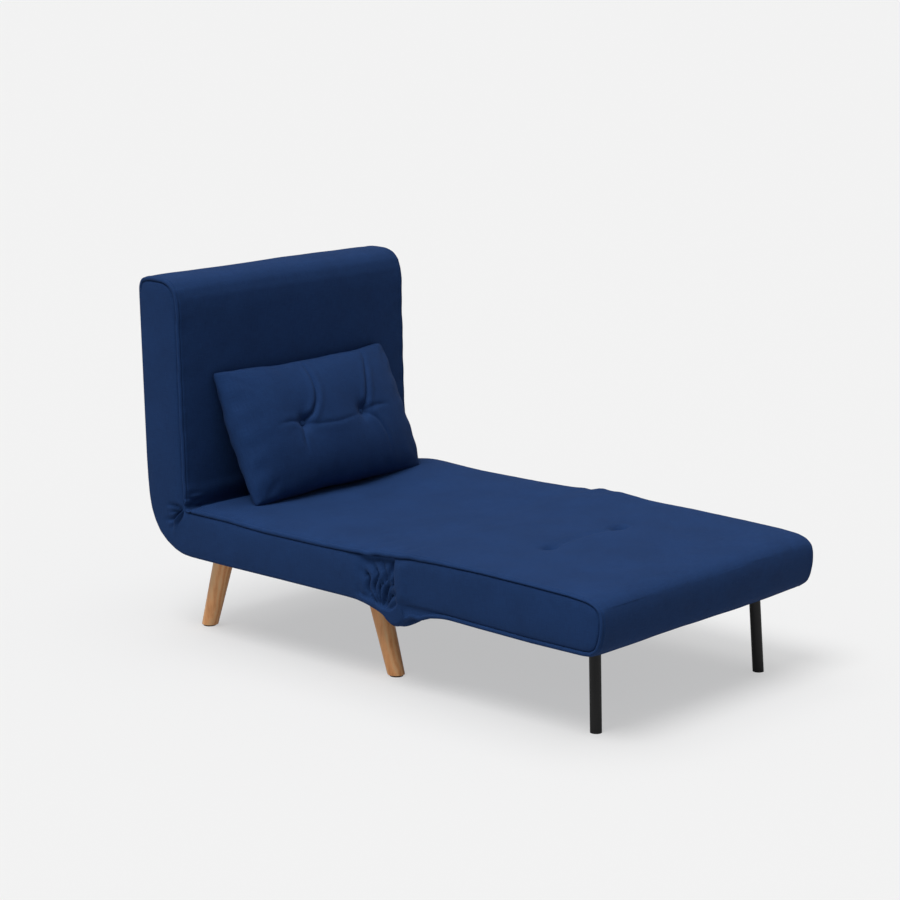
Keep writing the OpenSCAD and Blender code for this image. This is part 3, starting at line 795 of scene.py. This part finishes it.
PILLOW_TILT = math.radians(65.3)
PILLOW_SIZE = (0.565, 0.335, 0.140)
PILLOW_GRID = (66, 40)  # points along and up before it is smoothed
PILLOW_FOOT = Vector((0, REAR[0] - 0.155, REAR[1] + 0.010))  # the middle of its lower edge
PILLOW_NORMAL = Vector((0, -math.sin(PILLOW_TILT), math.cos(PILLOW_TILT)))
PILLOW_UP = Vector((0, math.cos(PILLOW_TILT), math.sin(PILLOW_TILT)))
PILLOW_FRAMES = 14  # the cloth is inflated for this many
PILLOW_MOST_SWELL = 1.35
BUTTON_R = 0.0075
BUTTON_DOME = 0.0032
PILLOW_BUTTON_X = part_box("pillow_buttons")[1].x - 0.009
BUTTON_DENTS = ((0.015, 0.018), (0.009, 0.060))  # depth and reach of the dent, and of the hollow round it
CREASE_HALF = 0.0042  # half the width of a crease
CREASE_LIP = (0.35, 0.013, 0.008)  # the raised cloth beside it: its share of the depth, its place, its width

PILLOW_CREASES = (
    # points across and up from the middle in m, depth in m
    ([(-0.100, 0), (-0.066, 0.018), (-0.046, 0.044), (-0.034, 0.076), (-0.030, 0.108), (-0.027, 0.158)],
     0.0062),
    ([(0.100, 0), (0.119, 0.028), (0.134, 0.060), (0.149, 0.091), (0.166, 0.120), (0.182, 0.150)], 0.0052),
    ([(-0.100, 0), (-0.060, -0.012), (0.0, -0.016), (0.060, -0.010), (0.100, 0)], 0.0015),
    ([(0.100, 0), (0.135, -0.030), (0.150, -0.070), (0.155, -0.110)], 0.0022),
    ([(0.100, 0), (0.140, 0.006), (0.185, 0.004)], 0.0020),
    ([(-0.100, 0), (-0.115, -0.035), (-0.118, -0.070)], 0.0024),
    ([(-0.100, 0), (-0.140, 0.008), (-0.180, 0.006)], 0.0020),
)


def pillow_mesh():
    """Two domed panels sewn together round their edge, as rows of points across the pillow."""
    gx, gy = np.meshgrid(*(np.linspace(-1, 1, n) for n in PILLOW_GRID), indexing="ij")
    corner = (np.abs(gx) * np.abs(gy)) ** 14
    narrow = 1 - 0.018 * (1 - gy**2) - 0.020 * corner + 0.006 * wave(gy * 9, gy * 5 + gx)
    low = 1 - 0.070 * (1 - np.abs(gx) ** 2.2) - 0.035 * corner + 0.010 * wave(gx * 8, gx * 13 + gy)
    x = gx * PILLOW_SIZE[0] / 2 * narrow
    y = gy * PILLOW_SIZE[1] / 2 * low
    near_edge = np.maximum(np.abs(gx), np.abs(gy)) ** 6
    puckers = 0.0040 * wave(gx * 31 + gy * 5, gy * 19 - gx * 7) * near_edge
    dome = PILLOW_SIZE[2] / 2 * ((1 - np.abs(gx) ** 3.0) * (1 - np.abs(gy) ** 2.4)) ** 0.45
    front = dome * (1 + 0.05 * wave(gx * 4.1, gy * 3.7)) + puckers
    verts = list(zip(x.ravel(), y.ravel(), np.where(dome > 0, front, 0).ravel()))
    index = np.arange(gx.size).reshape(gx.shape)
    back = index.copy()
    inner = index[1:-1, 1:-1]
    back[1:-1, 1:-1] = len(verts) + np.arange(inner.size).reshape(inner.shape)
    verts += [(verts[i][0], verts[i][1], -verts[i][2]) for i in inner.ravel()]
    faces = np.vstack([quads(index)[:, ::-1], quads(back)])
    return verts, faces, index


def fit_pillow(mesh):
    """Brings the inflated pillow to its sizes, with its middle at the origin."""
    co = read_points(mesh)
    low, high = co.min(0), co.max(0)
    size = high - low
    middle = (high + low) / 2
    co = (co - [middle[0], middle[1], 0]) * [PILLOW_SIZE[0] / size[0], PILLOW_SIZE[1] / size[1], 1]
    co[:, 2] *= min(PILLOW_MOST_SWELL, PILLOW_SIZE[2] * 0.98 / size[2])
    mesh.vertices.foreach_set("co", co.ravel())


def make_pillow(cloth):
    verts, faces, index = pillow_mesh()
    piece = make_piece("pillow_stuffed", verts, faces.tolist())
    piece.data.validate()
    seam = piece.vertex_groups.new(name="seam")
    seam.add(np.r_[index[[0, -1]].ravel(), index[:, [0, -1]].ravel()].tolist(), 1.0, "REPLACE")
    inflate(piece, "seam", PILLOW_FRAMES)
    fit_pillow(piece.data)
    lay_flat(piece.data, np.array(verts)[:, :2])
    sub = piece.modifiers.new("smooth", "SUBSURF")
    sub.levels = sub.render_levels = 2
    apply_modifiers(piece)
    crease_pillow(piece.data)
    piece.data.shade_smooth()
    tilt = Matrix.Rotation(PILLOW_TILT, 4, "X")
    to_middle = Matrix.Translation((0, PILLOW_SIZE[1] / 2, 0))
    piece.data.transform(Matrix.Translation(PILLOW_FOOT) @ tilt @ to_middle)
    piece.data.materials.append(cloth)
    return piece


def apply_modifiers(piece):
    bpy.context.view_layer.objects.active = piece
    shown = piece.evaluated_get(bpy.context.evaluated_depsgraph_get())
    mesh = bpy.data.meshes.new_from_object(shown)
    piece.modifiers.clear()
    piece.data = mesh


def crease_pillow(mesh):
    """Presses the button tufts and the creases that run from them into both panels."""
    co = read_points(mesh)
    depth = np.zeros(len(co))
    for bx in (-PILLOW_BUTTON_X, PILLOW_BUTTON_X):
        r = np.hypot(co[:, 0] - bx, co[:, 1])
        depth += sum(size * bump(r, 0, reach) for size, reach in BUTTON_DENTS)
    fade = step(PILLOW_SIZE[1] / 2 - np.abs(co[:, 1]), 0.0, 0.03)
    lip_share, lip_place, lip_width = CREASE_LIP
    for points, size in PILLOW_CREASES:
        line = smooth_line(np.array(points), 0.006, 0.002)
        distance = np.linalg.norm(co[:, None, :2] - line[None], axis=2)
        at = distance.argmin(1)
        away = distance[np.arange(len(co)), at]
        along = at / (len(line) - 1)
        size = size * step(along, 0.0, 0.10) * (1 - 0.75 * step(along, 0.55, 1.0))
        depth += fade * size * (bump(away, 0, CREASE_HALF) - lip_share * bump(away, lip_place, lip_width))
    co[:, 2] -= np.sign(co[:, 2]) * np.minimum(depth, np.abs(co[:, 2]) * 0.8)
    mesh.vertices.foreach_set("co", co.ravel())


def inflate(piece, pin_group, frames):
    """Blows a closed cloth up, with the points of pin_group held in their places."""
    cloth_mod = piece.modifiers.new("cloth", "CLOTH")
    settings = cloth_mod.settings
    settings.quality = 6
    settings.mass = 0.25
    settings.tension_stiffness = 60
    settings.compression_stiffness = 60
    settings.shear_stiffness = 25
    settings.bending_stiffness = 0.35
    settings.tension_damping = settings.compression_damping = 12
    settings.air_damping = 4
    settings.effector_weights.gravity = 0
    settings.use_pressure = True
    settings.uniform_pressure_force = 5
    settings.vertex_group_mass = pin_group
    cloth_mod.collision_settings.use_collision = False
    cloth_mod.point_cache.frame_start = 1
    cloth_mod.point_cache.frame_end = frames
    for f in range(1, frames + 1):
        bpy.context.scene.frame_set(f)
    apply_modifiers(piece)
    bpy.context.scene.frame_set(1)


def make_button(name, middle, normal, radius):
    """A small domed button covered in the pillow's cloth."""
    rings, spokes = 9, 28
    verts = [(0, 0, BUTTON_DOME)]
    for i in range(1, rings + 1):
        t = i / rings * math.radians(125)
        r = radius * math.sin(t)
        z = BUTTON_DOME * math.cos(t)
        for k in range(spokes):
            a = 2 * math.pi * k / spokes
            pleat = 1 + 0.035 * (t > 1.2) * math.cos(7 * a)
            verts.append((r * pleat * math.cos(a), r * pleat * math.sin(a), z))
    faces = [(0, 1 + k, 1 + (k + 1) % spokes) for k in range(spokes)]
    faces += ring_faces(1, rings, spokes)
    faces.append(tuple(1 + (rings - 1) * spokes + k for k in range(spokes))[::-1])
    piece = make_piece(name, verts, faces)
    piece.data.validate()
    piece.data.shade_smooth()
    lay_flat(piece.data, np.array(verts)[:, :2])
    turned = Vector(normal).to_track_quat("Z", "Y").to_matrix().to_4x4()
    piece.data.transform(Matrix.Translation(middle) @ turned)
    return piece


def point_in_front(piece, at, normal):
    """The piece's point that is nearest to the line from at along normal; a gap along x counts twice."""

    def miss(vert):
        gap = vert.co - at
        ahead = gap.dot(normal)
        behind = 10 if ahead < 0 else 0
        return abs(gap.x) + (gap - normal * ahead).length + behind

    return min(piece.data.vertices, key=miss).co


def add_pillow(cloth):
    pillow = make_pillow(cloth)
    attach(pillow, "pillow")
    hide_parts("pillow")
    centre = PILLOW_FOOT + PILLOW_UP * (PILLOW_SIZE[1] / 2)
    for side, word in ((-1, "left"), (1, "right")):
        tuft = point_in_front(pillow, centre + Vector((side * PILLOW_BUTTON_X, 0, 0)), PILLOW_NORMAL)
        button = make_button("pillow_button_" + word, tuft + PILLOW_NORMAL * 0.001, PILLOW_NORMAL, BUTTON_R)
        button.data.materials.append(cloth)
        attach(button, "pillow")
        if side < 0:
            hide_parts("pillow_buttons")


# ---------- tufts ----------

TACK_STRANDS = 4
TACK_THREAD = 0.0009  # the radius of a strand
TACK_LONG = 0.017
TACK_RISE = 0.0011  # the middle of a tack stands up this much


def strand_points(across, sides, rings):
    """A strand of thread along x, thin at its ends and a little higher in the middle."""
    verts = []
    for i in range(rings):
        t = i / (rings - 1) * 2 - 1
        thick = TACK_THREAD * math.sqrt(max(0.04, 1 - t**8))
        rise = TACK_RISE * (1 - t * t)
        for k in range(sides):
            a = 2 * math.pi * k / sides
            verts.append((t * TACK_LONG / 2, across + thick * math.cos(a), rise + thick * math.sin(a)))
    return verts


def make_tack(name, middle):
    """A bar tack: strands of thread laid side by side across a tuft. The stitches are real, but their thread
    is coloured far darker than the cloth, which paints the shade of the tuft's pit.
    """
    verts, faces = [], []
    sides, rings = 8, 14
    for strand in range(TACK_STRANDS):
        first = len(verts)
        verts += strand_points((strand - (TACK_STRANDS - 1) / 2) * 2 * TACK_THREAD, sides, rings)
        faces += ring_faces(first, rings, sides)
        faces.append([first + k for k in range(sides)])
        faces.append([first + (rings - 1) * sides + k for k in range(sides)][::-1])
    piece = make_piece(name, verts, faces)
    piece.data.shade_smooth()
    piece.data.transform(Matrix.Translation(middle))
    return piece


def add_tufts(cover, thread):
    top = [v.co for v in cover.data.vertices if v.co.z > FRONT[1] - 0.04]
    y = FRONT[0] - TUFT_U * MM
    for side, word in ((-1, "left"), (1, "right")):
        x = side * TUFT_X * MM
        pit = min(top, key=lambda co: math.hypot(co.x - x, co.y - y))
        # The tack's dark thread paints the shade in the pit of each tuft.
        tack = make_tack("foot_tuft_" + word, (x, y, pit.z + 0.0006))
        tack.data.materials.append(thread)
        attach(tack, "foot")


# ---------- the CAD's soft parts ---


def join_covers(front, back):
    """Hides the CAD's covers, foams, pads and tuft buttons that the new covers replace, and bakes the
    covers' placement into their meshes.
    """
    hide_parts("seat_cover", "foot_cover", "seat_foam", "foot_foam", "foot_under_pad",
                "seat_under_pad", "foot_tuft_buttons")
    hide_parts("back_cover", "back_foam", "back_rear_pad")
    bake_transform(front)
    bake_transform(back)


# ---------- camera, floor and light ----------

CAMERA_AT = (-4.141, -3.6735, 1.640)
CAMERA_TURN = 47.98  # degrees to the right of straight back
CAMERA_DOWN = 12.01
CAMERA_LENS = 100
FLOOR_HALF = 80
FLOOR_GREY = 0.38
FLOOR_GLOW = 0.48  # what the camera sees of the floor is nearly white
FLOOR_GLOW_UNSEEN = 0.12
BACKDROP_GREY = 0.86
WORLD_LIGHT = 0.22
# name, strength, width in degrees, direction
LAMPS = (("key", 1.65, 30, (0.50, 0.02, -1.0)), ("top", 1.25, 65, (0.0, -0.12, -1.0)))


def make_camera():
    data = bpy.data.cameras.new("camera")
    data.sensor_width = 36
    data.lens = CAMERA_LENS
    camera = bpy.data.objects.new("camera", data)
    bpy.context.scene.collection.objects.link(camera)
    azimuth, pitch = math.radians(CAMERA_TURN), math.radians(CAMERA_DOWN)
    camera.location = CAMERA_AT
    level = math.cos(pitch)
    look = Vector((math.sin(azimuth) * level, math.cos(azimuth) * level, -math.sin(pitch)))
    camera.rotation_euler = look.to_track_quat("-Z", "Y").to_euler()
    bpy.context.scene.camera = camera


def make_floor():
    corners = [(x * FLOOR_HALF, y * FLOOR_HALF, 0) for x, y in ((-1, -1), (1, -1), (1, 1), (-1, 1))]
    floor = make_piece("floor", corners, [(0, 1, 2, 3)])
    paint = Paint("floor_paint", 0.9, Base_Color=(FLOOR_GREY, FLOOR_GREY, FLOOR_GREY, 1),
                  Specular_IOR_Level=0.1, Emission_Color=(1, 1, 1, 1), Emission_Strength=FLOOR_GLOW)
    seen = paint.node("LightPath").outputs["Is Camera Ray"]
    paint.set(Emission_Strength=paint.spread(seen, FLOOR_GLOW_UNSEEN, FLOOR_GLOW))
    floor.data.materials.append(paint.material)


def make_world():
    """White light from all round, behind which the camera sees a pale grey."""
    world = bpy.data.worlds.new("world")
    bpy.context.scene.world = world
    world.use_nodes = True
    tree = world.node_tree
    seen = tree.nodes.new("ShaderNodeBackground")
    seen.inputs["Color"].default_value = (BACKDROP_GREY, BACKDROP_GREY, BACKDROP_GREY, 1)
    lit = tree.nodes["Background"]
    lit.inputs["Color"].default_value = (1, 1, 1, 1)
    lit.inputs["Strength"].default_value = WORLD_LIGHT
    pick = tree.nodes.new("ShaderNodeMixShader")
    tree.links.new(tree.nodes.new("ShaderNodeLightPath").outputs["Is Camera Ray"], pick.inputs[0])
    tree.links.new(lit.outputs[0], pick.inputs[1])
    tree.links.new(seen.outputs[0], pick.inputs[2])
    tree.links.new(pick.outputs[0], tree.nodes["World Output"].inputs[0])


def make_lamps():
    for name, energy, angle, toward in LAMPS:
        data = bpy.data.lights.new(name, "SUN")
        data.energy = energy
        data.angle = math.radians(angle)
        lamp = bpy.data.objects.new(name, data)
        lamp.rotation_euler = Vector(toward).to_track_quat("-Z", "Y").to_euler()
        bpy.context.scene.collection.objects.link(lamp)


cloth = cloth_paint()
# The bar tacks' thread, coloured dark to paint the shade in the tufts' pits.
thread = thread_and_pit_shade_paint()
paint_nodes(cloth)
cover_front, cover_back = make_covers(cloth)
add_pillow(cloth)
add_tufts(cover_front, thread)
join_covers(cover_front, cover_back)
make_camera()
make_floor()
make_world()
make_lamps()
bpy.context.scene.view_settings.view_transform = "Standard"
